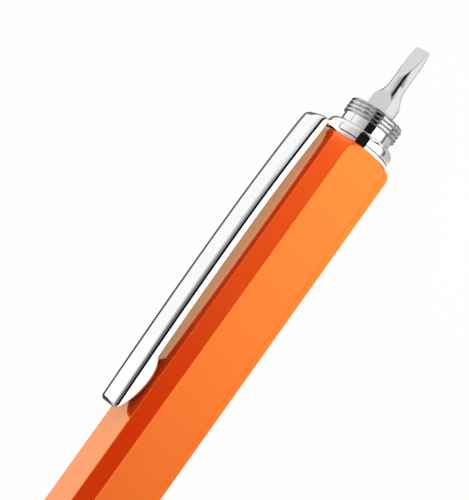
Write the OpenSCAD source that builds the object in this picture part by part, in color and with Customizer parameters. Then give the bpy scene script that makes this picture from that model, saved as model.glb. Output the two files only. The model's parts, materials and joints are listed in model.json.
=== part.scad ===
// Pocket screwdriver in a pen barrel: a chamfered square barrel with a spring clip, a threaded collar
// that holds a reversible bit, and a twist nose that drives a ballpoint refill through a helical slot.
// The axis runs along +X to the bit, +Z is the clip side, and the barrel lies on z = 0.

/* [Barrel] */
// Width of the barrel across its flats
barrel_af = 9; // [8.4:0.1:10.5]
// Leg of the chamfer on each long edge
corner_cut = 1.55; // [1.2:0.05:1.9]
// Radius that softens each long edge
edge_r = 0.25; // [0.1:0.05:0.5]
// Length of the barrel
barrel_l = 104; // [96:1:125]
// Bore through the barrel
bore_d = 6.6; // [6.2:0.1:7]
// Diameter of the flat rim at each end
rim_d = 8.45; // [8:0.05:8.8]
// Length over which each end is turned down to its rim
end_round_l = 1.75; // [1.2:0.05:2.5]

/* [Collar] */
// Diameter of the flange that holds the clip
flange_d = 8.6; // [8:0.1:9]
// Height of the flange
flange_h = 1.5; // [1:0.1:2.2]
// Rounding of the flange's upper edge
flange_r = 0.75; // [0.3:0.05:0.9]
// Diameter of the neck above the flange
neck_d = 6.5; // [5.6:0.1:6.8]
// Height of the neck
neck_h = 1.15; // [0.6:0.05:2]
// Outside diameter of the cap thread
thread_d = 7; // [6.9:0.1:8]
// Length of the cap thread
thread_h = 1.8; // [1.5:0.1:3]
// Bevel at the end of the cap thread
thread_bevel = 0.3; // [0.1:0.05:0.5]
// Thickness of the floor under the magnet
socket_floor = 1; // [0.6:0.1:2]

/* [Bit] */
// Width of the square shank across its flats
bit_sq = 2.7; // [2.3:0.1:3]
// Length of the square shank
shank_l = 11; // [8:0.5:14]
// Length of the shank that stands out of the collar
shank_out = 1.85; // [1:0.05:3]
// Length of each working end, from the shank to its tip
end_l = 7.5; // [6.5:0.1:10]
// Diameter of the round neck at each working end
bit_neck_d = 2.1; // [1.8:0.1:2.2]
// Length of the turned shoulder between shank and neck
shoulder_l = 1.5; // [1:0.1:2]
// Length of the two flats of the blade
grind_l = 4.4; // [3:0.1:4.6]
// Thickness of the blade at its tip
blade_t = 0.45; // [0.3:0.05:0.7]
// Length of the cone of the cross point
cross_l = 1.5; // [1:0.1:2]
// Diameter of the blunt tip of the cross point
cross_tip_d = 0.8; // [0.6:0.1:1]
// Length of the four flutes of the cross point
flute_l = 2.6; // [2.1:0.1:3.5]
// Turn of the shank about the axis, from the clip towards the wide face
bit_turn = 33.7; // [0:0.1:89]
// Thickness of the magnet
magnet_h = 1.5; // [1:0.1:3]

/* [Clip] */
// Thickness of the clip's sheet
sheet_t = 0.35; // [0.25:0.05:0.5]
// Length of the clip's arm
clip_l = 40.3; // [34:0.1:46]
// Width of the clip's arm
clip_w = 4.7; // [3.8:0.1:5.6]
// Height of the arm's highest point above the barrel
clip_rise = 2.9; // [2.6:0.1:3.4]
// Radius of the arm's bow
bow_r = 786; // [500:1:1500]
// Distance from the head of the arm to its highest point
bow_peak = 14.3; // [10:0.1:22]
// Height of the arm's side walls
wall_h = 1.45; // [1.2:0.05:1.6]
// Rounding of the arm's long upper edges
clip_edge_r = 0.45; // [0.15:0.05:0.5]
// Radius of the bend at the head of the arm
bend_r = 0.55; // [0.3:0.05:0.7]
// Rounding of the corners at the tip of the arm
tip_r = 0.6; // [0.2:0.1:1.2]
// Gap between the lobes and the barrel
lobe_gap = 0.35; // [0.2:0.05:0.6]
// Distance from the lowest point of the lobes to the tip of the arm
lobe_back = 5; // [4:0.1:6]
// Radius of the front of the lobes
lobe_front_r = 3.6; // [2.5:0.1:5]
// Radius of the back of the lobes
lobe_tail_r = 8.8; // [8:0.1:12]
// Diameter of the clip's ring
ring_d = 8.5; // [8:0.1:9]
// Width of the tab between ring and arm
tab_w = 4; // [3:0.1:4.4]

/* [Nose] */
// Diameter of the nose where it meets the barrel
nose_d = 8.2; // [7.8:0.1:8.8]
// Length of the nose
nose_l = 21; // [17:0.5:26]
// Length of the straight grip at the top of the nose
nose_land_l = 3.2; // [2:0.1:5]
// Diameter of the nose at its tip
nose_tip_d = 3.2; // [3:0.1:4]
// Radius of the nose's curved flank
nose_flank_r = 90; // [60:1:160]
// Depth to which the cam sleeve enters the nose
nose_socket_l = 6; // [4:0.5:8]
// Height of the trim ring
trim_h = 1.6; // [1:0.1:2.5]
// Thickness of the drag washer
washer_t = 0.4; // [0.3:0.05:0.8]
// Depth to which the nose bush enters the barrel
bush_l = 7; // [5:0.5:10]
// Thickness of the snap ring
snap_t = 0.5; // [0.3:0.05:0.8]
// Depth of the snap ring's groove
snap_groove = 0.25; // [0.15:0.05:0.3]
// Height of the snap ring above the cam sleeve
snap_proud = 0.3; // [0.2:0.05:0.4]
// Opening of the snap ring
snap_open = 2.2; // [1.4:0.1:3]

/* [Twist drive] */
// Travel of the refill
travel = 4.2; // [3:0.1:5]
// Twist of the nose for the full travel
twist_deg = 180; // [120:5:180]
// Wall of the fixed housing
housing_wall = 0.45; // [0.35:0.05:0.55]
// Wall of the cam sleeve
cam_wall = 0.55; // [0.45:0.05:0.6]
// Length of the housing beyond the pin's travel at each end
housing_past = 3; // [2.6:0.1:5]
// Length of the plug's spigot in the housing
plug_spigot = 1; // [0.6:0.1:1.2]
// Thickness of the plug's head
plug_head = 1.2; // [0.8:0.1:2]
// Diameter of the carrier pin
pin_d = 1.2; // [0.8:0.1:1.3]
// Distance from the pin to the top of the carrier
pin_below_top = 1.2; // [0.9:0.1:1.4]
// Distance from the pin to the top of the cam sleeve
pin_below_cam = 1.6; // [1.4:0.1:1.8]
// Length of the carrier
carrier_l = 8.5; // [7.8:0.1:11]

/* [Refill] */
// Diameter of the refill's tube
refill_d = 2.35; // [2.1:0.05:2.5]
// Length of the refill with its point
refill_l = 67; // [60:1:72]
// Wall of the refill's tube
refill_wall = 0.2; // [0.15:0.05:0.3]
// Depth to which the refill enters its carrier
refill_seat = 5; // [4:0.1:5.4]
// Depth of the ball inside the nose when the point is in
retract = 0.8; // [0.4:0.1:1.5]
// Length of the point's cylinder
point_body_l = 5; // [3:0.1:7]
// Length of the point's cone
point_cone_l = 3.6; // [2.5:0.1:5]
// Length of the point's stem in the tube
point_stem_l = 3; // [2:0.1:5]
// Step from the tube down to the point
point_step = 0.05; // [0.02:0.01:0.1]
// Diameter at the end of the point
nib_d = 0.95; // [0.85:0.05:1.2]
// Diameter of the writing ball
ball_d = 0.8; // [0.6:0.05:0.8]
// Height of the ball beyond the point, as a share of its diameter
ball_out_share = 0.35; // [0.25:0.05:0.4]
// Diameter of the ink channel in the point
channel_d = 0.5; // [0.3:0.05:0.6]
// Length of the ink column
ink_l = 45; // [20:1:50]

/* [Fits] */
// Radial gap of fixed fits
fit = 0.02; // [0.01:0.005:0.03]
// Radial gap of running fits
run = 0.05; // [0.03:0.01:0.08]
// Gap on each side of the bit in its socket
socket_gap = 0.05; // [0.03:0.01:0.08]
// Gap between faces that only meet when a load is on them
seat_gap = 0.05; // [0.02:0.01:0.1]
// Gap round the pin in its slots
slot_gap = 0.09; // [0.07:0.01:0.12]
// Gap round the refill inside the nose
passage_gap = 0.3; // [0.2:0.05:0.4]

/* [Hidden] */
$fn = 64;
overrun = 0.5;
edge_steps = 3;
bow_fn = 2880;
slot_step_deg = 7.5;
half = barrel_af / 2;
corner_r = norm([half, half - corner_cut]);
env_r = corner_r + fit;
end_drop = env_r - rim_d / 2;
end_arc_r = (end_round_l * end_round_l + end_drop * end_drop) / (2 * end_drop);

// Heights along the axis are counted from the barrel's upper rim, towards the bit
flange_z = sheet_t;
neck_z = flange_z + flange_h;
thread_z = neck_z + neck_h;
collar_z = thread_z + thread_h;
shank_top_z = collar_z + shank_out;
bit_top_z = shank_top_z + end_l;
shank_low_z = shank_top_z - shank_l;
bit_low_z = shank_low_z - end_l;
magnet_z = bit_low_z - seat_gap - magnet_h;
stem_z = magnet_z - socket_floor;
stem_d = bore_d - 2 * fit;
socket_sq = bit_sq + 2 * socket_gap;
pilot_d = bit_sq;
shank_r = bit_sq / sqrt(2) + fit;
shoulder_drop = shank_r - bit_neck_d / 2;
shoulder_r = (shoulder_l * shoulder_l + shoulder_drop * shoulder_drop) / (2 * shoulder_drop);
broach_z = shank_low_z - shoulder_l / 2;
grind_deg = atan((bit_neck_d - blade_t) / 2 / grind_l);
flute_r = cross_tip_d / 4;
flute_deg = atan((bit_neck_d / 2 - flute_r) / flute_l);

lobe_u = clip_l - lobe_back;
clip_wide = clip_w + 2 * overrun;
wall_join_share = 0.35;
lobe_join = clip_rise - bow_drop(lobe_u) - wall_h * (1 - wall_join_share);
split_v = clip_rise - bow_drop(0) - wall_h;

housing_d = bore_d - 2 * fit;
housing_id = housing_d - 2 * housing_wall;
cam_d = housing_id - 2 * run;
cam_id = cam_d - 2 * cam_wall;
carrier_d = cam_id - 2 * run;
refill_id = refill_d - 2 * refill_wall;
point_d = refill_d - 2 * point_step;
slot_d = pin_d + 2 * slot_gap;

barrel_low_z = -barrel_l;
trim_z = barrel_low_z - trim_h;
nose_z = trim_z - washer_t;
nose_tip_z = nose_z - nose_l;
point_z = nose_tip_z + retract;
nib_z = point_z + ball_d * ball_out_share;
point_body_z = nib_z + point_cone_l;
tube_z = point_body_z + point_body_l;
point_stem_z = tube_z + point_stem_l;
refill_top_z = point_z + refill_l;
carrier_z = refill_top_z - refill_seat;
pin_z = carrier_z + carrier_l - pin_below_top;
pin_low_z = pin_z - travel;
housing_top_z = pin_z + housing_past;
housing_low_z = pin_low_z - housing_past;
cam_top_z = pin_z + pin_below_cam;
cam_low_z = nose_z - nose_socket_l;
snap_z = barrel_low_z + bush_l + seat_gap;

rim_x = -(bit_top_z + nose_tip_z) / 2;

// Drop of the clip's arm below its highest point, at a distance from its head
function bow_drop(u) = bow_r - sqrt(bow_r * bow_r - (u - bow_peak) * (u - bow_peak));

// Corner of the chamfered square, with its softened edge, in one quarter
function corner_points(h, f) = [for (c = [0, 1]) for (s = [0:edge_steps])
    let (p = c == 0 ? [h, f] : [f, h], a = 45 * (c + s / edge_steps))
    p + edge_r * [cos(a), sin(a)]];

function turned(p, a) = [p[0] * cos(a) - p[1] * sin(a), p[0] * sin(a) + p[1] * cos(a)];

// Lays a piece that is drawn upright along the object's axis
module laid() {
    translate([rim_x, 0, half])
        rotate([90, 0, 90])
            children();
}

// A round tube or disc between two heights
module tube(low, high, outer_d, inner_d) {
    translate([0, 0, low])
        difference() {
            cylinder(d = outer_d, h = high - low);
            translate([0, 0, -overrun])
                cylinder(d = inner_d, h = high - low + 2 * overrun);
        }
}

// A round rod between two heights
module rod(low, high, d) {
    translate([0, 0, low])
        cylinder(d = d, h = high - low);
}

// A radial bore on the clip side, at an angle and a height
module radial_bore(a, z, d, r) {
    rotate([0, 0, a])
        translate([0, 0, z])
            rotate([-90, 0, 0])
                cylinder(d = d, h = r);
}

module barrel_section() {
    h = half - edge_r;
    f = (barrel_af - corner_cut) - edge_r * sqrt(2) - h;
    polygon([for (q = [0:3]) for (p = corner_points(h, f)) turned(p, 90 * q)]);
}

// Half of the turned envelope that rounds both ends of the barrel
module barrel_envelope() {
    square([env_r - end_arc_r, barrel_l]);
    translate([0, end_round_l])
        square([env_r, barrel_l - 2 * end_round_l]);
    for (end = [0, 1])
        translate([0, end * barrel_l])
            mirror([0, end])
                intersection() {
                    translate([env_r - end_arc_r, end_round_l])
                        circle(r = end_arc_r);
                    square([env_r, end_round_l]);
                }
}

module barrel() {
    color("orange")
        laid()
            difference() {
                translate([0, 0, barrel_low_z])
                    intersection() {
                        linear_extrude(height = barrel_l)
                            barrel_section();
                        rotate_extrude()
                            barrel_envelope();
                    }
                rod(barrel_low_z - overrun, overrun, bore_d);
            }
}

// Half section of the collar without its socket
module collar_profile() {
    translate([0, stem_z])
        square([stem_d / 2, flange_z - stem_z]);
    translate([0, flange_z])
        square([flange_d / 2 - flange_r, flange_h]);
    translate([0, flange_z])
        square([flange_d / 2, flange_h - flange_r]);
    intersection() {
        translate([flange_d / 2 - flange_r, neck_z - flange_r])
            circle(r = flange_r);
        translate([flange_d / 2 - flange_r, neck_z - flange_r])
            square(flange_r);
    }
    translate([0, neck_z])
        square([neck_d / 2, neck_h]);
    translate([0, thread_z])
        polygon([[0, 0], [thread_d / 2, 0], [thread_d / 2, thread_h - thread_bevel],
            [thread_d / 2 - thread_bevel, thread_h], [0, thread_h]]);
}

module bit_collar() {
    color("silver")
        laid()
            difference() {
                rotate_extrude()
                    collar_profile();
                rotate([0, 0, bit_turn])
                    translate([-socket_sq / 2, -socket_sq / 2, broach_z])
                        cube([socket_sq, socket_sq, collar_z - broach_z + overrun]);
                rod(magnet_z, collar_z, pilot_d);
            }
}

module bit_magnet() {
    color("gray")
        laid()
            rod(magnet_z, magnet_z + magnet_h, pilot_d - 2 * fit);
}

// Half section of the bit: both necks, the room for the square shank and the turned shoulders
module bit_profile() {
    neck_r = bit_neck_d / 2;
    translate([0, bit_low_z + cross_l])
        square([neck_r, bit_top_z - bit_low_z - cross_l]);
    polygon([[0, bit_low_z], [cross_tip_d / 2, bit_low_z], [neck_r, bit_low_z + cross_l],
        [0, bit_low_z + cross_l]]);
    translate([0, shank_low_z])
        square([shank_r, shank_l]);
    for (end = [0, 1])
        translate([0, end == 1 ? shank_top_z : shank_low_z])
            mirror([0, 1 - end])
                difference() {
                    square([shank_r, shoulder_l]);
                    translate([neck_r + shoulder_r, shoulder_l])
                        circle(r = shoulder_r);
                }
}

module driver_bit() {
    color("lightgray")
        laid()
            rotate([0, 0, bit_turn])
                difference() {
                    intersection() {
                        rotate_extrude()
                            bit_profile();
                        translate([-bit_sq / 2, -bit_sq / 2, bit_low_z])
                            cube([bit_sq, bit_sq, bit_top_z - bit_low_z]);
                    }
                    for (side = [0, 180])
                        rotate([0, 0, side])
                            translate([-bit_sq, blade_t / 2, bit_top_z])
                                rotate([grind_deg, 0, 0])
                                    translate([0, 0, -2 * grind_l])
                                        cube([2 * bit_sq, bit_sq, 3 * grind_l]);
                    for (q = [0:3])
                        rotate([0, 0, 45 + 90 * q])
                            translate([flute_r, 0, bit_low_z])
                                rotate([0, flute_deg, 0])
                                    rotate([0, 0, -45])
                                        translate([0, 0, -overrun])
                                            cube([bit_sq, bit_sq, 2 * flute_l]);
                }
}

module clip_ring() {
    color("silver")
        laid()
            difference() {
                union() {
                    rod(0, sheet_t, ring_d);
                    translate([-tab_w / 2, 0, 0])
                        cube([tab_w, half + split_v - fit, sheet_t]);
                }
                rod(-overrun, sheet_t + overrun, stem_d + 2 * fit);
            }
}

// Places the clip's arm: u runs from its head to its tip, v above the barrel's face
module clip_frame() {
    translate([0, half, sheet_t])
        rotate([0, 90, 0])
            children();
}

// Sweeps a section of the arm along its bow, from one distance to another
module bowed(from_u, to_u) {
    low_deg = asin((to_u - bow_peak) / bow_r);
    high_deg = asin((bow_peak - from_u) / bow_r);
    clip_frame()
        translate([bow_peak, clip_rise - bow_r, 0])
            rotate([0, 0, 90 - low_deg])
                rotate_extrude(angle = low_deg + high_deg, $fn = bow_fn)
                    translate([bow_r, 0])
                        children();
}

// Section of the arm as a solid bar with rounded upper edges
module arm_section() {
    flat = clip_w / 2 - clip_edge_r;
    translate([-wall_h, -clip_w / 2])
        square([wall_h - clip_edge_r, clip_w]);
    translate([-clip_edge_r - fit, -flat])
        square([clip_edge_r + fit, 2 * flat]);
    for (side = [-1, 1])
        translate([-clip_edge_r, side * flat])
            circle(r = clip_edge_r);
}

module lobe_outline() {
    intersection() {
        translate([lobe_u, lobe_gap + lobe_front_r])
            circle(r = lobe_front_r);
        translate([lobe_u - lobe_front_r, lobe_gap])
            square([lobe_front_r, lobe_join - lobe_gap]);
    }
    translate([lobe_u, lobe_gap])
        square([lobe_back, lobe_join - lobe_gap]);
}

// Outline of the arm seen from above, with its tip's corners rounded
module arm_plan() {
    translate([0, -clip_w / 2])
        square([clip_l - tip_r, clip_w]);
    translate([0, -clip_w / 2 + tip_r])
        square([clip_l, clip_w - 2 * tip_r]);
    for (side = [-1, 1])
        translate([clip_l - tip_r, side * (clip_w / 2 - tip_r)])
            circle(r = tip_r);
}

// What lies below the rising back of the lobes
module tail_trim() {
    difference() {
        translate([lobe_u, -overrun])
            square([lobe_back + overrun, lobe_gap + lobe_tail_r + overrun]);
        translate([lobe_u, lobe_gap + lobe_tail_r])
            circle(r = lobe_tail_r);
    }
}

// What lies outside the bend at the head
module bend_trim() {
    translate([0, clip_rise - bow_drop(0)])
        difference() {
            translate([-overrun, -bend_r])
                square([overrun + bend_r, bend_r + overrun]);
            translate([bend_r, -bend_r])
                circle(r = bend_r);
        }
}

module clip_arm() {
    color("silver")
        laid()
            difference() {
                intersection() {
                    union() {
                        bowed(-overrun, clip_l + overrun)
                            arm_section();
                        for (x = [-clip_w / 2, clip_w / 2 - sheet_t])
                            translate([x, 0, 0])
                                clip_frame()
                                    linear_extrude(height = sheet_t)
                                        lobe_outline();
                    }
                    clip_frame()
                        rotate([90, 0, 0])
                            translate([0, 0, -clip_rise - overrun])
                                linear_extrude(height = clip_rise + 2 * overrun)
                                    arm_plan();
                }
                bowed(sheet_t, clip_l + 2 * overrun)
                    translate([-wall_h - overrun, -clip_w / 2 + sheet_t])
                        square([wall_h + overrun - sheet_t, clip_w - 2 * sheet_t]);
                translate([-clip_wide / 2, 0, 0])
                    clip_frame()
                        linear_extrude(height = clip_wide) {
                            tail_trim();
                            bend_trim();
                        }
            }
}

module mech_housing() {
    color("goldenrod")
        laid()
            difference() {
                tube(housing_low_z, housing_top_z, housing_d, housing_id);
                for (z = [pin_low_z, pin_z])
                    radial_bore(0, z, slot_d, bore_d);
                translate([-slot_d / 2, 0, pin_low_z])
                    cube([slot_d, bore_d, travel]);
            }
}

module housing_plug() {
    color("dimgray")
        laid()
            union() {
                rod(housing_top_z, housing_top_z + plug_head, housing_d);
                rod(housing_top_z - plug_spigot, housing_top_z, housing_id - 2 * fit);
            }
}

module cam_sleeve() {
    color("whitesmoke")
        laid()
            difference() {
                tube(cam_low_z, cam_top_z, cam_d, cam_id);
                for (a = [0:slot_step_deg:twist_deg])
                    radial_bore(-a, pin_z - travel * a / twist_deg, slot_d, bore_d);
                tube(snap_z, snap_z + snap_t, bore_d, cam_d - 2 * snap_groove);
            }
}

module snap_ring() {
    color("slategray")
        laid()
            difference() {
                tube(snap_z + fit, snap_z + snap_t - fit, cam_d + 2 * snap_proud,
                    cam_d - 2 * snap_groove + 2 * fit);
                translate([-snap_open / 2, 0, snap_z - overrun])
                    cube([snap_open, bore_d, snap_t + 2 * overrun]);
            }
}

module refill_carrier() {
    color("white")
        laid()
            difference() {
                rod(carrier_z, carrier_z + carrier_l, carrier_d);
                rod(carrier_z - overrun, refill_top_z, refill_d + 2 * fit);
                radial_bore(0, pin_z, pin_d + 2 * fit, bore_d);
            }
}

module carrier_pin() {
    color("slategray")
        laid()
            translate([0, 0, pin_z])
                rotate([-90, 0, 0])
                    translate([0, 0, seat_gap])
                        cylinder(d = pin_d, h = housing_d / 2 - 2 * seat_gap);
}

module refill_tube() {
    color("gainsboro")
        laid()
            tube(tube_z, refill_top_z, refill_d, refill_id);
}

module refill_point() {
    color("goldenrod")
        laid()
            difference() {
                union() {
                    translate([0, 0, nib_z])
                        cylinder(d1 = nib_d, d2 = point_d, h = point_cone_l);
                    rod(point_body_z, tube_z, point_d);
                    rod(tube_z, point_stem_z, refill_id - 2 * fit);
                }
                translate([0, 0, point_z + ball_d / 2])
                    sphere(d = ball_d + 2 * fit);
                rod(point_z + ball_d / 2, point_stem_z + overrun, channel_d);
            }
}

module writing_ball() {
    color("silver")
        laid()
            translate([0, 0, point_z + ball_d / 2])
                sphere(d = ball_d);
}

module ink_column() {
    color("midnightblue")
        laid()
            rod(point_stem_z + fit, point_stem_z + ink_l, refill_id - 2 * fit);
}

// Half section of the nose: straight grip, then a curved flank that falls to the tip
module nose_profile() {
    grip_r = nose_d / 2;
    tip_r2 = nose_tip_d / 2;
    flank_l = nose_l - nose_land_l;
    chord = norm([flank_l, grip_r - tip_r2]);
    lean = atan((grip_r - tip_r2) / flank_l);
    sag = sqrt(nose_flank_r * nose_flank_r - chord * chord / 4);
    mid = [(grip_r + tip_r2) / 2, nose_tip_z + flank_l / 2];
    translate([0, nose_z - nose_land_l])
        square([grip_r, nose_land_l]);
    intersection() {
        translate([mid[0] - sag * cos(lean), mid[1] + sag * sin(lean)])
            circle(r = nose_flank_r, $fn = 720);
        translate([0, nose_tip_z])
            square([nose_d, flank_l]);
    }
}

module nose_cone() {
    color("silver")
        laid()
            difference() {
                rotate_extrude()
                    nose_profile();
                rod(cam_low_z - seat_gap, nose_z + overrun, cam_d + 2 * fit);
                rod(nose_tip_z + nose_tip_d, nose_z, refill_d + 2 * passage_gap);
                rod(nose_tip_z - overrun, nose_z, refill_d + 2 * run);
            }
}

module nose_bush() {
    color("goldenrod")
        laid()
            tube(trim_z, barrel_low_z + bush_l, bore_d - 2 * fit, cam_d + 2 * run);
}

module trim_ring() {
    color("silver")
        laid()
            tube(trim_z, barrel_low_z, rim_d, bore_d);
}

module drag_washer() {
    color("black")
        laid()
            tube(nose_z, trim_z, nose_d - 2 * passage_gap, cam_d + 2 * run);
}

barrel();
bit_collar();
bit_magnet();
clip_ring();
clip_arm();
driver_bit();
mech_housing();
housing_plug();
cam_sleeve();
snap_ring();
refill_carrier();
carrier_pin();
refill_tube();
refill_point();
writing_ball();
ink_column();
nose_cone();
nose_bush();
trim_ring();
drag_washer();
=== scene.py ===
import json
import math

import bpy
from mathutils import Matrix, Vector


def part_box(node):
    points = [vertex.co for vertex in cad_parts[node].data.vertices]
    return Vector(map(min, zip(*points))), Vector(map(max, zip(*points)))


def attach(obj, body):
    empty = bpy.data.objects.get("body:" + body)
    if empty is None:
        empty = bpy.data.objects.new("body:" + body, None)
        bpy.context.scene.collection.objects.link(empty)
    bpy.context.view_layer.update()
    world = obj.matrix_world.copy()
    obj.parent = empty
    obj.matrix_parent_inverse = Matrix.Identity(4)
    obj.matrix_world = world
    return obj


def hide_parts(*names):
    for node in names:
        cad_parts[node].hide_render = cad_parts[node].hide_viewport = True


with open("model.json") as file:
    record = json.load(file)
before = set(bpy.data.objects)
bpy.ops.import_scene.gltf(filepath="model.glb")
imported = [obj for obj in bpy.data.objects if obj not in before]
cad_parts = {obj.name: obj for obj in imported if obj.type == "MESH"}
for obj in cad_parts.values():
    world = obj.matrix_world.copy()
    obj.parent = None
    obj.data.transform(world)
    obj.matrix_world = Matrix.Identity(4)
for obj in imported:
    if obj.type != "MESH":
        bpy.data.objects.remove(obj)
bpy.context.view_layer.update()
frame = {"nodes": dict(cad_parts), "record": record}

nodes = frame["nodes"]
scene = bpy.context.scene
MM = 0.001
eighth = math.pi / 4
# A hair's breadth between faces that would otherwise meet
hair = 0.02 * MM

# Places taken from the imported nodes

barrel_lo, barrel_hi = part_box("barrel")
half = (barrel_hi.z - barrel_lo.z) / 2
axis_z = barrel_lo.z + half
top_z = barrel_hi.z
rim_x, low_x = barrel_hi.x, barrel_lo.x
collar_lo, collar_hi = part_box("bit_collar")
magnet_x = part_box("bit_magnet")[0].x
ring_lo, ring_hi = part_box("clip_ring")
arm_lo, arm_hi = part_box("clip_arm")
bit_lo, bit_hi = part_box("driver_bit")
nose_lo, nose_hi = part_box("nose_cone")
sleeve_lo, sleeve_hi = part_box("cam_sleeve")
trim_lo, trim_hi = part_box("trim_ring")

# Barrel sizes

corner_cut = 1.55 * MM
edge_r = 0.25 * MM
edge_span = math.radians(1.4)
face_step = math.radians(2)
bore_r = 3.3 * MM
rim_r = 4.225 * MM
end_round = 1.3 * MM
end_blend = 0.1 * MM
end_step = 0.05 * MM
rim_bevel = 0.05 * MM

# Collar sizes

flange_r = (collar_hi.y - collar_lo.y) / 2
flange_h = 1.5 * MM
flange_round = 0.75 * MM
flange_steps = 10
neck_r = 3.25 * MM
neck_h = 1.15 * MM
thread_r = 3.5 * MM
thread_pitch = 0.5 * MM
thread_steps = 14
thread_depth = 0.24 * MM
thread_bevel = 0.14 * MM
# Shares of the pitch that are flat at the crest and at the root
thread_crest = 0.4
thread_root = 0.13
# Shares of the thread's depth between which a face belongs to the root, which gets a grey of painted shade
root_from, root_to = 0.94, 1.1
stem_r = bore_r - hair
turned_bevel = 0.06 * MM
seat_gap = 0.08 * MM
seat_l = 0.3 * MM
collar_sides = 144

# Bit sizes

bit_turn = math.radians(33.7)
bit_sq = 2.7 * MM
socket_sq = bit_sq + 0.1 * MM
shank_out = 1.85 * MM
shank_l = 11 * MM
shoulder_l = 1.5 * MM
outer_shoulder_l = 2.3 * MM
tip_narrow = 0.16 * MM
tip_narrow_l = 2 * MM
tip_bevel = 0.04 * MM
bit_neck_r = 1.05 * MM
grind_l = 4.4 * MM
blade_t = 0.45 * MM
cross_l = 1.5 * MM
cross_tip_r = 0.4 * MM
flute_l = 2.6 * MM
bit_blend = 0.05 * MM
bit_step = 0.1 * MM
corner_span = math.radians(6)
corner_step = math.radians(1)

# Clip sizes

sheet_t = ring_hi.x - ring_lo.x
head_x = arm_hi.x
clip_l = arm_hi.x - arm_lo.x
clip_half = (arm_hi.y - arm_lo.y) / 2
clip_rise = arm_hi.z - top_z
bow_r = 786 * MM
head_bow_r = 230 * MM
bow_peak = 14.3 * MM
wall_h = 1.45 * MM
far_wall_h = 0.98 * MM
wall_steps = 6
flat_steps = 4
front_steps = 4
root_l = 1.5 * MM
bend_r = 0.7 * MM
bend_steps = 8
head_r = 0.3 * MM
tip_r = 0.6 * MM
tip_drop_r = 0.6 * MM
tip_degs = 88
tip_steps = 16
lobe_gap = 0.35 * MM
lobe_back = 5 * MM
lobe_front_r = 3.6 * MM
lobe_tail_r = 8.8 * MM
lobe_lead = 0.3 * MM
lobe_step = 0.1 * MM
arm_step = 1.0 * MM
# The arm's crowned top and rolled edge: radii between slopes given by the normal's degrees above the side
roll_degs = (90, 66, 30, 17, 0)
roll_radii = tuple(radius * MM for radius in (3.0, 0.6, 1.1, 0.25))
roll_steps = 8
# Largest share of a side's height that the rolled edge takes
roll_share = 0.85
ring_bevel_w = 0.05 * MM

# Nose and trim ring sizes

nose_r = (nose_hi.y - nose_lo.y) / 2
nose_land = 3.2 * MM
nose_tip_r = 1.6 * MM
nose_flank = 90 * MM
flank_step = 0.5 * MM
nose_bevel = 0.12 * MM
bevel_steps = 4
point_bore_r = 1.225 * MM
point_bore_l = 2 * nose_tip_r
refill_bore_r = point_bore_r + 0.25 * MM
sleeve_bore_r = (sleeve_hi.y - sleeve_lo.y) / 2 + hair
sleeve_bore_x = sleeve_lo.x - 0.05 * MM
trim_r = (trim_hi.y - trim_lo.y) / 2
trim_bevel = 0.15 * MM
nose_sides = 96


# Camera

swing = math.radians(5.0)
rise = math.radians(24.5)
reach = 200 * MM
focal_px = 1750
image_h = 500
sensor = 36.0
along_share = (0.583, 0.812)
aim_x = rim_x - 17.55 * MM
aim_side = 4.31 * MM

back = Vector((-math.sin(swing), -math.cos(swing) * math.cos(rise), math.cos(swing) * math.sin(rise)))
back.normalize()
along = (Vector((1, 0, 0)) - back * back.x).normalized()
across = along.cross(back)
right = along * along_share[0] + across * along_share[1]
up = along * along_share[1] - across * along_share[0]
aim = Vector((aim_x, 0, axis_z)) - across * aim_side
turn_to_aim = Matrix((right, up, back)).transposed().to_4x4()
cam_data = bpy.data.cameras.new("camera")
cam_data.type = "PERSP"
cam_data.sensor_width = sensor
cam_data.lens = focal_px * sensor / image_h
cam_data.clip_start = reach / 100
cam_data.clip_end = reach * 100
camera = bpy.data.objects.new("camera", cam_data)
scene.collection.objects.link(camera)
camera.matrix_world = Matrix.Translation(aim + back * reach) @ turn_to_aim
scene.camera = camera
scene.view_settings.view_transform = "Standard"


# Node helpers, which take plain values or the outputs of other nodes

def add_node(tree, kind, inputs=(), **settings):
    """A node with its settings; inputs are a dict by name, or a row in the node's own order."""
    node = tree.nodes.new("ShaderNode" + kind)
    for key, value in settings.items():
        setattr(node, key, value)
    pairs = inputs.items() if isinstance(inputs, dict) else enumerate(inputs)
    for key, value in pairs:
        if isinstance(value, bpy.types.NodeSocket):
            tree.links.new(value, node.inputs[key])
        else:
            node.inputs[key].default_value = value
    return node


def reckon(tree, operation, *values):
    """One step of arithmetic."""
    return add_node(tree, "Math", values, operation=operation).outputs[0]


def product(tree, result, *others):
    """The values multiplied in their order."""
    for value in others:
        result = reckon(tree, "MULTIPLY", result, value)
    return result


def ramp(tree, value, start, end, low=0.0, high=1.0):
    """Low until the value is at start, high once it is at end, and even in between."""
    return add_node(tree, "MapRange", (value, start, end, low, high)).outputs["Result"]


def blend(tree, share, first, second, data_type="FLOAT"):
    """The first value where the share is 0, the second where it is 1."""
    inputs = {"Factor": share, "A": first, "B": second}
    return add_node(tree, "Mix", inputs, data_type=data_type).outputs["Result"]


def bands(tree, value, stops):
    """Three values that change along a row of stops, held as the parts of a colour."""
    node = add_node(tree, "ValToRGB", [value])
    elements = node.color_ramp.elements
    while len(elements) < len(stops):
        elements.new(0.5)
    for element, (place, parts) in zip(elements, stops):
        element.position = place
        element.color = (*parts, 1)
    return node.outputs["Color"]


def noise(tree, vector, scale, detail):
    inputs = {"Vector": vector, "Scale": scale, "Detail": detail}
    return add_node(tree, "TexNoise", inputs).outputs["Fac"]


# Materials

patch_detail = 3
grain_detail = 4
grain_range = (0.3, 0.7)
grain_depth = 0.02 * MM
looks = {}


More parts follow.
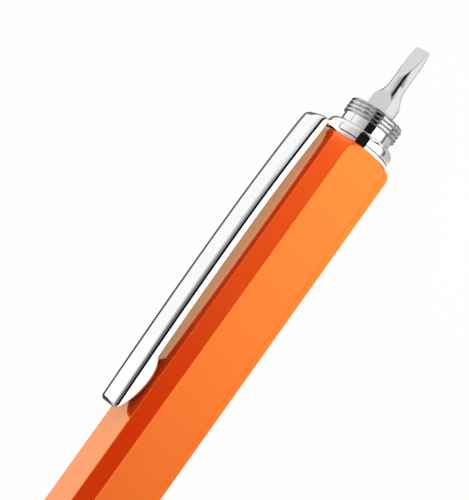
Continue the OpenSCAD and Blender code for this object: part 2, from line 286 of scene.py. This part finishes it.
def finish(name, color, tint, metal, rough, broad, fine, relief, stretch=(1, 1, 1), shine=None, coat=None):
    """A procedural finish: colour that varies over broad patches, and roughness and relief that vary over a
    fine grain, which can be stretched. shine is (IOR, tint), and coat is (weight, roughness)."""
    material = bpy.data.materials.new(name)
    material.use_nodes = True
    tree = material.node_tree
    surface = tree.nodes["Principled BSDF"].inputs
    surface["Metallic"].default_value = metal
    if shine:
        surface["IOR"].default_value = shine[0]
        surface["Specular Tint"].default_value = (*shine[1], 1)
    if coat:
        surface["Coat Weight"].default_value = coat[0]
        surface["Coat Roughness"].default_value = coat[1]
    place = add_node(tree, "TexCoord").outputs["Object"]
    stretched = add_node(tree, "Mapping", {"Vector": place, "Scale": stretch}).outputs["Vector"]
    patches = noise(tree, place, broad, patch_detail)
    grain = noise(tree, stretched, fine, grain_detail)
    shade = blend(tree, patches, (*color, 1), (*tint, 1), data_type="RGBA")
    gloss = ramp(tree, grain, *grain_range, *rough)
    bump = add_node(tree, "Bump", {"Strength": relief, "Distance": grain_depth, "Height": grain})
    tree.links.new(shade, surface["Base Color"])
    tree.links.new(gloss, surface["Roughness"])
    tree.links.new(bump.outputs["Normal"], surface["Normal"])
    looks[name] = material


finish("orange_lacquer", (0.98, 0.046, 0.002), (0.95, 0.05, 0.003), metal=0.0, rough=(0.03, 0.05),
       broad=90, fine=1200, relief=0.003, stretch=(0.2, 1, 1),
       shine=(2.9, (1.0, 0.62, 0.06)), coat=(0.45, 0.03))
finish("chrome", (0.92, 0.92, 0.925), (0.89, 0.895, 0.905), metal=1.0, rough=(0.02, 0.045),
       broad=200, fine=3000, relief=0.01)
finish("satin_steel", (0.72, 0.72, 0.715), (0.67, 0.67, 0.67), metal=1.0, rough=(0.1, 0.17),
       broad=400, fine=6000, relief=0.04, stretch=(0.3, 1, 1))
# Inside of the clip's channel: a dull finish whose dark grey paints the shade in the channel
finish("clip_inside_painted_shade", (0.3, 0.3, 0.3), (0.27, 0.27, 0.27), metal=0.0, rough=(0.45, 0.6),
       broad=300, fine=4000, relief=0.03)
# Near black that paints the shade in the collar's seat groove, between the clip ring and the flange
finish("painted_seat_shade", (0.03, 0.03, 0.03), (0.02, 0.02, 0.02), metal=0.0, rough=(0.5, 0.7),
       broad=400, fine=5000, relief=0.1)
# Dull grey that paints the shade in the thread's roots
finish("thread_root", (0.3, 0.3, 0.3), (0.26, 0.26, 0.26), metal=0.0, rough=(0.5, 0.7),
       broad=400, fine=5000, relief=0.1)
finish("nickel_steel", (0.66, 0.65, 0.63), (0.58, 0.57, 0.56), metal=1.0, rough=(0.18, 0.3),
       broad=300, fine=4000, relief=0.05)
finish("brass", (0.8, 0.58, 0.26), (0.72, 0.5, 0.22), metal=1.0, rough=(0.15, 0.28),
       broad=300, fine=3000, relief=0.06, stretch=(5, 1, 1))
finish("grey_plastic", (0.08, 0.08, 0.085), (0.065, 0.065, 0.07), metal=0.0, rough=(0.4, 0.55),
       broad=300, fine=5000, relief=0.1)
finish("white_plastic", (0.8, 0.8, 0.77), (0.75, 0.75, 0.73), metal=0.0, rough=(0.35, 0.5),
       broad=300, fine=5000, relief=0.08)
finish("blue_ink", (0.012, 0.02, 0.12), (0.01, 0.015, 0.09), metal=0.0, rough=(0.12, 0.2),
       broad=400, fine=3000, relief=0.03)
finish("black_rubber", (0.02, 0.02, 0.02), (0.03, 0.03, 0.03), metal=0.0, rough=(0.6, 0.8),
       broad=500, fine=6000, relief=0.15)

for row in frame["record"]["subparts"]:
    node_mesh = nodes[row["node"]].data
    node_mesh.materials.clear()
    node_mesh.materials.append(looks[row["material_slot"]])


# Mesh helpers

rounding = 1e-9


def polar(x, radius, angle):
    """A point at a distance from the axis, at an angle from the clip side towards the front."""
    return (x, -radius * math.sin(angle), axis_z + radius * math.cos(angle))


def soft_min(first, second, width):
    """The smaller of two values, with a rounded change where they are closer than the width."""
    share = max(0.0, min(1.0, 0.5 + 0.5 * (second - first) / width))
    return second * (1 - share) + first * share - width * share * (1 - share)


def spread(low, high, step):
    """Even places from low on, without high itself, and no further apart than the step."""
    count = max(1, math.ceil(abs(high - low) / step - rounding))
    return [low + (high - low) * i / count for i in range(count)]


def piece(name, verts, faces, slot, body, stands_for=(), sharp=35):
    """A smooth piece in a slot's look that rides on a body; edges of more than sharp degrees stay sharp."""
    mesh = bpy.data.meshes.new(name)
    mesh.from_pydata(verts, [], faces)
    mesh.polygons.foreach_set("use_smooth", [True] * len(mesh.polygons))
    mesh.set_sharp_from_angle(angle=math.radians(sharp))
    mesh.materials.append(looks[slot])
    o = bpy.data.objects.new(name, mesh)
    scene.collection.objects.link(o)
    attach(o, body)
    if stands_for:
        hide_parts(*stands_for)
    return o


def skin(rings, loop=False, caps=False):
    """Points and faces of neighbouring rings; loop joins the last to the first, caps close both ends."""
    count = len(rings[0])
    faces = []
    for i in range(len(rings) if loop else len(rings) - 1):
        this, other = i * count, (i + 1) % len(rings) * count
        for k in range(count):
            after = (k + 1) % count
            faces.append((this + k, this + after, other + after, other + k))
    if caps:
        faces.append(tuple(reversed(range(count))))
        faces.append(tuple(range((len(rings) - 1) * count, len(rings) * count)))
    return [point for ring in rings for point in ring], faces


def turned(profile, angles):
    """Rings of a turned profile of (x, distance from the axis)."""
    return [[polar(x, radius, angle) for angle in angles] for x, radius in profile]


def shaped(places, radius_at, angles):
    """Rings at places along the axis, with a distance from it that depends on the place and the angle."""
    return [[polar(x, radius_at(x, angle), angle) for angle in angles] for x in places]


def round_angles(count):
    return [2 * math.pi * i / count for i in range(count)]


# Barrel shell

chamfer_d = (2 * half - corner_cut) / math.sqrt(2)
edge_blend = 4 * edge_r * (1 / math.cos(eighth / 2) - 1)
outer_r = math.hypot(half, half - corner_cut) + hair
end_drop = outer_r - rim_r
end_arc = (end_round ** 2 + end_drop ** 2) / (2 * end_drop)
# Least cosine between a direction and a face that can be the nearest one
facing_least = 0.5


def faces_radius(angle):
    """Distance from the axis to the eight faces, rounded at their edges."""
    sides = []
    for i in range(8):
        facing = math.cos(angle - i * eighth)
        if facing > facing_least:
            sides.append((half if i % 2 == 0 else chamfer_d) / facing)
    sides.sort()
    return soft_min(sides[0], sides[1], edge_blend)


def end_radius(inset):
    """Radius of the turned-down end at a distance from the rim."""
    if inset >= end_round:
        return outer_r + inset - end_round
    return outer_r - end_arc + math.sqrt(end_arc ** 2 - (end_round - inset) ** 2)


def barrel_radius(x, angle):
    inset = min(x - low_x, rim_x - x)
    return soft_min(faces_radius(angle), end_radius(inset), end_blend)


edge_angle = math.atan((half - corner_cut) / half)
edges = sorted(i * 2 * eighth + side * edge_angle for i in range(4) for side in (-1, 1))
barrel_angles = []
for edge, next_edge in zip(edges, edges[1:] + [edges[0] + 2 * math.pi]):
    barrel_angles += spread(edge - edge_span, edge + edge_span, edge_span / 4)
    barrel_angles += spread(edge + edge_span, next_edge - edge_span, face_step)

insets = spread(0, end_round + 4 * end_blend, end_step)
barrel_places = [low_x + inset for inset in insets] + [rim_x - inset for inset in reversed(insets)]
rings = shaped(barrel_places, barrel_radius, barrel_angles)
rings += turned([(rim_x, bore_r + rim_bevel), (rim_x - rim_bevel, bore_r),
                 (low_x + rim_bevel, bore_r), (low_x, bore_r + rim_bevel)], barrel_angles)
piece("barrel_shell", *skin(rings, loop=True), "orange_lacquer", "body", ["barrel"])


# Collar with its thread and socket

flange_x = ring_hi.x
seat_x = flange_x + seat_gap
seat_top = seat_x + turned_bevel / 2
neck_x = flange_x + flange_h
thread_x = neck_x + neck_h
thread_end = collar_hi.x - thread_bevel
shank_x = collar_hi.x + shank_out
shank_low_x = shank_x - shank_l
socket_x = shank_low_x - shoulder_l / 2
collar_angles = [bit_turn + eighth + angle for angle in round_angles(collar_sides)]


def thread_radius(x, angle):
    """Radius of the helix, which runs out at the bevel of its end."""
    turn = (x - thread_x) / thread_pitch - angle / (2 * math.pi)
    off_crest = (abs(2 * (turn % 1) - 1) - thread_crest) / (1 - thread_crest - thread_root)
    groove = max(0.0, min(1.0, off_crest))
    run_out = thread_r - max(0.0, x - thread_end)
    return min(run_out, thread_r - thread_depth * groove)


def square_radius(side, angle):
    """Distance from the axis to the sides of a square that is turned as the bit is."""
    return side / 2 / max(abs(math.cos(angle - bit_turn)), abs(math.sin(angle - bit_turn)))


def square_ring(x, side):
    return [polar(x, square_radius(side, angle), angle) for angle in collar_angles]


def flange_point(lean):
    """A point on the flange's rounded edge, at an angle from the axis."""
    return (neck_x - flange_round + flange_round * math.cos(lean),
            flange_r - flange_round + flange_round * math.sin(lean))


profile = [(collar_lo.x, stem_r - turned_bevel), (collar_lo.x + turned_bevel, stem_r), (flange_x, stem_r)]
profile += [(flange_x, flange_r - seat_l), (seat_x, flange_r - seat_l)]
profile += [(seat_x, flange_r - turned_bevel / 2), (seat_top, flange_r)]
profile += [flange_point(math.radians(90 - 90 * i / flange_steps)) for i in range(flange_steps + 1)]
profile += [(neck_x, neck_r + turned_bevel), (neck_x + turned_bevel, neck_r), (thread_x, neck_r)]
thread_places = spread(thread_x, collar_hi.x, thread_pitch / thread_steps) + [collar_hi.x]
rings = turned(profile, collar_angles)
rings += shaped(thread_places, thread_radius, collar_angles)
rings.append(square_ring(collar_hi.x, socket_sq + 4 * turned_bevel))
rings.append(square_ring(collar_hi.x - 2 * turned_bevel, socket_sq))
rings.append(square_ring(socket_x, socket_sq))
rings += turned([(socket_x, bit_sq / 2), (magnet_x, bit_sq / 2)], collar_angles)
collar = piece("collar_turned", *skin(rings, caps=True), "chrome", "body", ["bit_collar"])
collar_looks = ("chrome", "painted_seat_shade", "satin_steel", "thread_root")
for name in collar_looks[1:]:
    collar.data.materials.append(looks[name])


def collar_look(x, radius):
    """The look of a face: painted shade in the seat groove, satin on the thread, and a dull grey of painted
    shade in its roots.
    """
    depth = (thread_r - radius) / thread_depth
    # Faces in the seat groove get the painted shade
    if flange_x - seat_gap < x < seat_top:
        return "painted_seat_shade"
    if thread_x < x < thread_end and root_from < depth < root_to:
        return "thread_root"
    if x > thread_x and depth < root_to:
        return "satin_steel"
    return "chrome"


for face in collar.data.polygons:
    center = face.center
    from_axis = math.hypot(center.y, center.z - axis_z)
    face.material_index = collar_looks.index(collar_look(center.x, from_axis))


# Reversible bit

shank_r = bit_sq / math.sqrt(2) + hair
shoulder_drop = shank_r - bit_neck_r
grind_slope = (bit_neck_r - blade_t / 2) / grind_l
flute_r = cross_tip_r / 2
flute_slope = (bit_neck_r - flute_r) / flute_l
# Least share of a cut's direction at which the cut still counts
edge_on = 1e-3


def turned_bit(x):
    """Radius of the bit as turned: shank, hollow shoulders, necks, cross point and narrower blade tip."""
    past, length = shank_low_x - x, shoulder_l
    if x > shank_x:
        past, length = x - shank_x, outer_shoulder_l
    if past <= 0:
        return shank_r
    if past < length:
        hollow_r = (length ** 2 + shoulder_drop ** 2) / (2 * shoulder_drop)
        return bit_neck_r + hollow_r - math.sqrt(hollow_r ** 2 - (length - past) ** 2)
    from_cross = x - bit_lo.x
    if from_cross < cross_l:
        return cross_tip_r + (bit_neck_r - cross_tip_r) * from_cross / cross_l
    return bit_neck_r - tip_narrow * max(0.0, 1 - (bit_hi.x - x) / tip_narrow_l) ** 2


def bit_radius(x, angle):
    """The turned bit, cut square, ground to a blade at one end and fluted to a cross at the other."""
    radius = soft_min(turned_bit(x), square_radius(bit_sq, angle), bit_blend)
    from_blade, from_cross = bit_hi.x - x, x - bit_lo.x
    facing = abs(math.cos(angle - bit_turn))
    if from_blade < grind_l + shoulder_l and facing > edge_on:
        radius = soft_min(radius, (blade_t / 2 + grind_slope * from_blade) / facing, bit_blend / 2)
    off_flute = abs((angle - bit_turn) % (2 * eighth) - eighth)
    opening = math.cos(off_flute) - math.sin(off_flute)
    if from_cross < flute_l + shoulder_l and opening > edge_on:
        radius = soft_min(radius, (flute_r + flute_slope * from_cross) / opening, bit_blend / 2)
    return radius


bit_angles = []
for quarter in range(4):
    corner = bit_turn + eighth + quarter * 2 * eighth
    bit_angles += spread(corner - corner_span, corner + corner_span, corner_step)
    bit_angles += spread(corner + corner_span, corner + 2 * eighth - corner_span, face_step)


def bit_end(x, inward):
    """The two rings of a bevelled end, the ring of its face first."""
    face_ring = [polar(x, bit_radius(x, angle) - tip_bevel, angle) for angle in bit_angles]
    side_ring = [polar(x + inward * tip_bevel, bit_radius(x, angle), angle) for angle in bit_angles]
    return [face_ring, side_ring]


# Stretches of the bit, each with the place where it ends and the step of its rings
stretches = ((bit_lo.x + flute_l + shoulder_l, bit_step), (shank_low_x - shoulder_l, shank_l),
             (shank_low_x + bit_step, bit_step), (shank_x - bit_step, shank_l), (bit_hi.x, bit_step))
bit_places = []
start = bit_lo.x
for end, step in stretches:
    bit_places += spread(start, end, step)
    start = end
rings = bit_end(bit_lo.x, 1)
rings += shaped(bit_places[1:], bit_radius, bit_angles)
rings += reversed(bit_end(bit_hi.x, -1))
piece("bit_reversible", *skin(rings, caps=True), "satin_steel", "bit", ["driver_bit"])


# Spring clip, where down is the distance from its head and heights are above the barrel's top

def bow(down, radius):
    return clip_rise - radius + math.sqrt(radius ** 2 - (down - bow_peak) ** 2)


def bow_top(down):
    return bow(down, head_bow_r if down < bow_peak else bow_r)


def arm_bottom(down, far=False):
    """Lower edge of a side wall; at the root both walls come down to the tab of the ring."""
    root = max(0.0, 1 - down / root_l) ** 2
    low = bow(down, bow_r) - far_wall_h if far else bow_top(down) - wall_h
    low += root * (bow(0, bow_r) - wall_h - low)
    lobe_at = clip_l - lobe_back
    if lobe_at - lobe_front_r < down <= lobe_at:
        low = min(low, lobe_gap + lobe_front_r - math.sqrt(lobe_front_r ** 2 - (lobe_at - down) ** 2))
    elif down > lobe_at:
        low = lobe_gap + lobe_tail_r - math.sqrt(lobe_tail_r ** 2 - (down - lobe_at) ** 2)
    return low


def rolled_edge():
    """Points of the rolled edge from the top down: (run towards the side wall, drop below the top)."""
    points = [(0.0, 0.0)]
    for from_deg, to_deg, radius in zip(roll_degs, roll_degs[1:], roll_radii):
        degs = [from_deg + (to_deg - from_deg) * i / roll_steps for i in range(roll_steps + 1)]
        slopes = [math.radians(deg) for deg in degs]
        for slope, next_slope in zip(slopes, slopes[1:]):
            run, drop = points[-1]
            run += radius * (math.cos(next_slope) - math.cos(slope))
            drop += radius * (math.sin(slope) - math.sin(next_slope))
            points.append((run, drop))
    return points


roll = rolled_edge()
roll_run, roll_drop = roll[-1]


def arm_side(top, bottom, wide):
    """Half a section, over the rolled edge and down the side wall, as (distance from the middle, height)."""
    share = min(1.0, roll_share * (top - bottom) / roll_drop)
    side = [(wide - (roll_run - run), top - drop * share) for run, drop in roll]
    wall = side[-1][1]
    return side + [(wide, wall + (bottom - wall) * i / wall_steps) for i in range(1, wall_steps + 1)]


def arm_section(down, top, wide):
    """Points across the arm, from the lower edge of the near wall to that of the far wall."""
    lows = (arm_bottom(down), arm_bottom(down, far=True))
    near, far = (arm_side(max(top, low), low, wide) for low in lows)
    flat = wide - roll_run
    section = [(-side, height) for side, height in reversed(near)]
    section += [(flat * i / flat_steps, top) for i in range(1 - flat_steps, flat_steps)]
    section += far
    return [(head_x - down, side, top_z + height) for side, height in section]


def arm_width(down):
    """Half the arm's width, rounded in plan at its head and its tip."""
    if down < head_r:
        return clip_half - head_r + math.sqrt(head_r ** 2 - (head_r - down) ** 2)
    if down > clip_l - tip_r:
        return clip_half - tip_r + math.sqrt(max(0.0, tip_r ** 2 - (down - clip_l + tip_r) ** 2))
    return clip_half


# Stations (down, top): up the front of the head, round its bend, along the arm, and over the dropped tip
front_low, front_high = arm_bottom(0), bow_top(0) - bend_r
stations = [(0, front_low + (front_high - front_low) * i / front_steps) for i in range(front_steps)]
for i in range(bend_steps + 1):
    lean = math.radians(90 * i / bend_steps)
    down = bend_r * (1 - math.cos(lean))
    stations.append((down, bow_top(down) - bend_r * (1 - math.sin(lean))))
lobe_from = clip_l - lobe_back - lobe_front_r - lobe_lead
arm_downs = spread(bend_r, lobe_from, arm_step)[1:] + spread(lobe_from, clip_l - tip_r, lobe_step)
stations += [(down, bow_top(down)) for down in arm_downs]
for i in range(tip_steps + 1):
    down = clip_l - tip_r + tip_r * math.sin(math.radians(tip_degs * i / tip_steps))
    into_drop = max(0.0, down - clip_l + tip_drop_r)
    tip_drop = tip_drop_r - math.sqrt(tip_drop_r ** 2 - into_drop ** 2)
    stations.append((down, bow_top(down) - tip_drop))

rows = [arm_section(down, max(top, arm_bottom(down)), arm_width(down)) for down, top in stations]
count = len(rows[0])
verts = [point for row in rows for point in row]
faces = [(i * count + k, i * count + k + 1, (i + 1) * count + k + 1, (i + 1) * count + k)
         for i in range(len(rows) - 1) for k in range(count - 1)]
clip = piece("clip_spring", verts, faces, "chrome", "clip", ["clip_arm"], sharp=50)
# The inside of the sheet gets the dull grey of painted shade
clip.data.materials.append(looks["clip_inside_painted_shade"])
thick = clip.modifiers.new("sheet", "SOLIDIFY")
thick.thickness = sheet_t
thick.offset = -1
thick.use_even_offset = False
thick.material_offset = 1
ring_bevel = nodes["clip_ring"].modifiers.new("edges", "BEVEL")
ring_bevel.width = ring_bevel_w
ring_bevel.segments = 2
ring_bevel.limit_method = "ANGLE"


# Nose cone

flank_l = (nose_hi.x - nose_lo.x) - nose_land
flank_x = nose_lo.x + flank_l
flank_chord = math.hypot(flank_l, nose_r - nose_tip_r)
flank_lean = math.atan2(nose_r - nose_tip_r, flank_l)
chord_to_center = math.sqrt(nose_flank ** 2 - flank_chord ** 2 / 4)
flank_center_x = nose_lo.x + flank_l / 2 + chord_to_center * math.sin(flank_lean)
flank_center_r = (nose_r + nose_tip_r) / 2 - chord_to_center * math.cos(flank_lean)
nose_angles = round_angles(nose_sides)


def flank_radius(x):
    return flank_center_r + math.sqrt(nose_flank ** 2 - (x - flank_center_x) ** 2)


def tip_point(share):
    """A point on the rounded bevel of the tip, at a share of its length."""
    x = nose_lo.x + nose_bevel * share
    return (x, flank_radius(x) - nose_bevel * (1 - share) ** 2)


profile = [(nose_lo.x, point_bore_r + nose_bevel), (nose_lo.x, nose_tip_r - nose_bevel)]
profile += [tip_point(i / bevel_steps) for i in range(1, bevel_steps + 1)]
profile += [(x, flank_radius(x)) for x in spread(nose_lo.x + 2 * nose_bevel, flank_x, flank_step)]
profile += [(flank_x, nose_r), (nose_hi.x - nose_bevel, nose_r), (nose_hi.x, nose_r - nose_bevel)]
profile += [(nose_hi.x, sleeve_bore_r), (sleeve_bore_x, sleeve_bore_r), (sleeve_bore_x, refill_bore_r)]
profile += [(nose_lo.x + point_bore_l, refill_bore_r), (nose_lo.x + point_bore_l, point_bore_r)]
profile += [(nose_lo.x + nose_bevel, point_bore_r)]
piece("nose_turned", *skin(turned(profile, nose_angles), loop=True), "chrome", "nose", ["nose_cone"])


# Trim ring

profile = [(trim_lo.x, bore_r), (trim_lo.x, trim_r - trim_bevel), (trim_lo.x + trim_bevel, trim_r)]
profile += [(trim_hi.x - trim_bevel, trim_r), (trim_hi.x, trim_r - trim_bevel), (trim_hi.x, bore_r)]
piece("trim_turned", *skin(turned(profile, nose_angles), loop=True), "chrome", "body", ["trim_ring"])


# Floor

# The camera sees white paper with a faint shadow. Metal and lacquer mirror a glow on it that paints light and
# shade: a strip of light, which lies before the object, under the barrel and under the bit. The strip grows
# brighter towards the bit, has a painted shade patch beside the bit and a painted orange bounce of the
# barrel's light under the barrel. Beside the collar it ends in a painted dark line of shade, and the floor
# far behind is painted dark.
floor_size = 3.0
floor_white = 0.97
floor_lit = 1.07
paper_grey = 0.72
white = (1, 1, 1, 1)
# Colour of the painted orange bounce of the barrel's light on the floor under it
barrel_bounce = (0.95, 0.55, 0.12)
card_edge = -half - 0.8 * MM
card_soft = 1.5 * MM
card_line = 0.5 * MM
# Levels of the painted strip of light at its ends, at its brightest and past the painted shade, and of the
# painted dark outside it
card_low, card_high, card_past, card_dark = 0.47, 1.65, 1.12, 0.12
# Places along the strip hold at slant_y before the axis, and slant from there
card_slant = 0.25
slant_y = 14.4 * MM
card_shift = card_slant * slant_y
card_from, card_to = -10 * MM, 95 * MM
shade_from, shade_to = collar_hi.x + 2 * MM, collar_hi.x + 7 * MM
past_to = shade_to + 10 * MM
card_levels = ((card_from, card_low), (rim_x, card_high), (shade_from, card_high),
               (shade_from + card_soft, card_dark / 2), (shade_to, card_dark / 2),
               (shade_to + card_soft, card_past), (past_to, card_past), (card_to, card_low))
card_stops = [((place - card_from) / (card_to - card_from), (light / card_high,) * 3)
              for place, light in card_levels]
# Places across the floor, each from where a change starts to where it ends
far_ahead = (4 * card_edge, 4.6 * card_edge)
far_behind = (4 * half, 4.6 * half)
under_bit_y = (0.3 * MM, -0.5 * MM)
under_barrel_y = (2 * half, half)
barrel_mid, barrel_reach = (rim_x + low_x) / 2, (rim_x - low_x) / 2

floor_mesh = bpy.data.meshes.new("floor")
corners = [(x * floor_size, y * floor_size, 0) for x, y in ((-1, -1), (1, -1), (1, 1), (-1, 1))]
floor_mesh.from_pydata(corners, [], [(0, 1, 2, 3)])
floor = bpy.data.objects.new("floor", floor_mesh)
scene.collection.objects.link(floor)
floor_look = bpy.data.materials.new("floor")
floor_look.use_nodes = True
floor_mesh.materials.append(floor_look)


def strip_parts(tree, x, y):
    """Shares of the strip that lie ahead of the object, under the bit and under the barrel."""
    ahead = ramp(tree, y, card_edge, card_edge - card_soft)
    past_collar = ramp(tree, x, collar_hi.x, collar_hi.x + card_soft)
    before_rim = ramp(tree, x, rim_x + card_soft, rim_x + card_soft / 3)
    under_bit = product(tree, past_collar, ramp(tree, y, *under_bit_y))
    under_barrel = product(tree, before_rim, ramp(tree, y, *under_barrel_y))
    return ahead, under_bit, under_barrel


def strip_light(tree, x, y):
    """Level of the strip ahead: its stops along the slanted places, and bright far ahead up to the shade."""
    slanted = reckon(tree, "MULTIPLY_ADD", y, card_slant, x)
    place = ramp(tree, slanted, card_from - card_shift, card_to - card_shift)
    near_level = product(tree, bands(tree, place, card_stops), card_high)
    to_shade = ramp(tree, slanted, shade_from - card_shift, shade_from + card_soft - card_shift, 1.0, 0.0)
    far_level = product(tree, ramp(tree, y, *far_ahead, 0.0, card_high), to_shade)
    return reckon(tree, "MAXIMUM", near_level, far_level)


def barrel_above(tree, x):
    """Share of the floor's length that the barrel stands above."""
    from_mid = reckon(tree, "ABSOLUTE", reckon(tree, "SUBTRACT", x, barrel_mid))
    return ramp(tree, from_mid, barrel_reach + card_soft / 2, barrel_reach)


def floor_surface(tree):
    """Paper that takes the shadow, mixed with a glow that each kind of ray sees in its own way."""
    rays = add_node(tree, "LightPath").outputs
    mirrored, seen = rays["Is Glossy Ray"], rays["Is Camera Ray"]
    place = add_node(tree, "SeparateXYZ", [add_node(tree, "NewGeometry").outputs["Position"]]).outputs
    x, y = place["X"], place["Y"]
    ahead, under_bit, under_barrel = strip_parts(tree, x, y)
    not_ahead = reckon(tree, "SUBTRACT", 1.0, ahead)
    strip = reckon(tree, "MAXIMUM", reckon(tree, "MAXIMUM", ahead, under_bit), under_barrel)
    strip_level = blend(tree, product(tree, under_bit, not_ahead), strip_light(tree, x, y), card_past)
    mirror_level = blend(tree, strip, card_dark, strip_level)
    # Painted shade: a dark line along the back of the strip, which shows beside the collar, and the dark
    # floor far behind
    painted_shade_line = ramp(tree, y, card_edge + 2 * card_line, card_edge + card_line)
    dark = reckon(tree, "MAXIMUM", ramp(tree, y, *far_behind), painted_shade_line)
    mirror_share = reckon(tree, "MAXIMUM", strip, dark)
    # Painted orange bounce of the barrel's light, for mirrored rays under the barrel
    painted_bounce_share = product(tree, under_barrel, barrel_above(tree, x), not_ahead, mirrored)
    glow_color = blend(tree, painted_bounce_share, white, (*barrel_bounce, 1), data_type="RGBA")
    glow_level = blend(tree, seen, blend(tree, mirrored, floor_lit, mirror_level), 1.0)
    glow_share = blend(tree, mirrored, floor_white, mirror_share)
    glow = add_node(tree, "Emission", {"Color": glow_color, "Strength": glow_level}).outputs[0]
    paper = add_node(tree, "BsdfDiffuse", [(paper_grey, paper_grey, paper_grey, 1)]).outputs[0]
    return add_node(tree, "MixShader", [glow_share, paper, glow]).outputs[0]


floor_tree = floor_look.node_tree
floor_tree.nodes.remove(floor_tree.nodes["Principled BSDF"])
floor_tree.links.new(floor_surface(floor_tree), floor_tree.nodes["Material Output"].inputs["Surface"])


# World

# The camera sees white, and what is lit gets a plain level. What is mirrored are bands round the object's
# axis, counted in degrees from the front horizon upwards. Each has a share that is even along the axis, one
# that grows towards the bit and one for the ends.
lit_level = 0.575
around_bands = ((0, 0.01, 0, 0.05), (35, 0.01, 0, 0.05), (37, 0.12, 0.3, 0.3), (57, 0.2, 0.42, 0.8),
                (61, 0.01, 0.6, 1), (66, 0.01, 0.63, 1), (72, 0.04, 0.66, 1), (82, 0.47, 0.4, 1),
                (104, 0.74, 0.28, 1), (106, 0.05, 0.26, 1), (108, 0.05, 0.26, 1), (110, 1.04, 0, 1),
                (159, 1.04, 0, 1), (163, 0.03, 0.16, 1), (180, 0.03, 0.16, 1))
# How much of each share shows, from directions to the nose end (-1) to directions to the bit end (1)
along_bands = ((-1, 0.15, 0.05, 0.35), (-0.62, 0.4, 0.05, 0.3), (-0.5, 0.4, 0.05, 0),
               (-0.25, 1.4, 0.02, 0), (-0.03, 1.4, 0.04, 0), (0, 1, 0.1, 0), (0.165, 1, 0.6, 0),
               (0.176, 1, 1, 0), (0.19, 1, 1, 0), (0.203, 1, 1.1, 0), (0.5, 1, 1.1, 0),
               (0.62, 0.8, 0.9, 0.3), (1, 0.4, 0.4, 0.4))
# Both are scaled down to be parts of a colour
around_scale = 1.5
along_scale = 1.4
around_stops = [(deg / 180, [share / around_scale for share in shares]) for deg, *shares in around_bands]
along_stops = [((x + 1) / 2, [share / along_scale for share in shares]) for x, *shares in along_bands]

world = bpy.data.worlds.new("studio")
scene.world = world
world.use_nodes = True


def world_level(tree):
    """Level of the world in a direction, for each kind of ray."""
    rays = add_node(tree, "LightPath").outputs
    toward = add_node(tree, "SeparateXYZ", [add_node(tree, "TexCoord").outputs["Generated"]]).outputs
    turn = reckon(tree, "ARCTAN2", toward["Z"], product(tree, toward["Y"], -1.0))
    around = bands(tree, reckon(tree, "DIVIDE", turn, math.pi), around_stops)
    lengthwise = bands(tree, ramp(tree, toward["X"], -1.0, 1.0), along_stops)
    both = add_node(tree, "VectorMath", [around, lengthwise], operation="DOT_PRODUCT").outputs["Value"]
    mirror_level = product(tree, both, around_scale * along_scale)
    plain = blend(tree, rays["Is Glossy Ray"], lit_level, mirror_level)
    return blend(tree, rays["Is Camera Ray"], plain, 1.0)


background = world.node_tree.nodes["Background"].inputs
background["Color"].default_value = white
world.node_tree.links.new(world_level(world.node_tree), background["Strength"])


# Soft lamps beside the bit and behind the clip

# Name, place, the place on the axis that the lamp faces, and size
lamps = (("lamp_bit", Vector((rim_x + 32 * MM, -48 * MM, 50 * MM)), rim_x, 30 * MM),
         ("lamp_clip", Vector((arm_lo.x - 30 * MM, 80 * MM, 80 * MM)), arm_lo.x, 60 * MM))
lamp_power = 0.028
for name, lamp_place, aim_at, lamp_size in lamps:
    lamp_data = bpy.data.lights.new(name, "AREA")
    lamp_data.size = lamp_size
    lamp_data.energy = lamp_power
    lamp = bpy.data.objects.new(name, lamp_data)
    lamp.location = lamp_place
    lamp.rotation_euler = (lamp_place - Vector((aim_at, 0, axis_z))).to_track_quat("Z", "Y").to_euler()
    lamp.visible_glossy = False
    lamp.visible_camera = False
    scene.collection.objects.link(lamp)
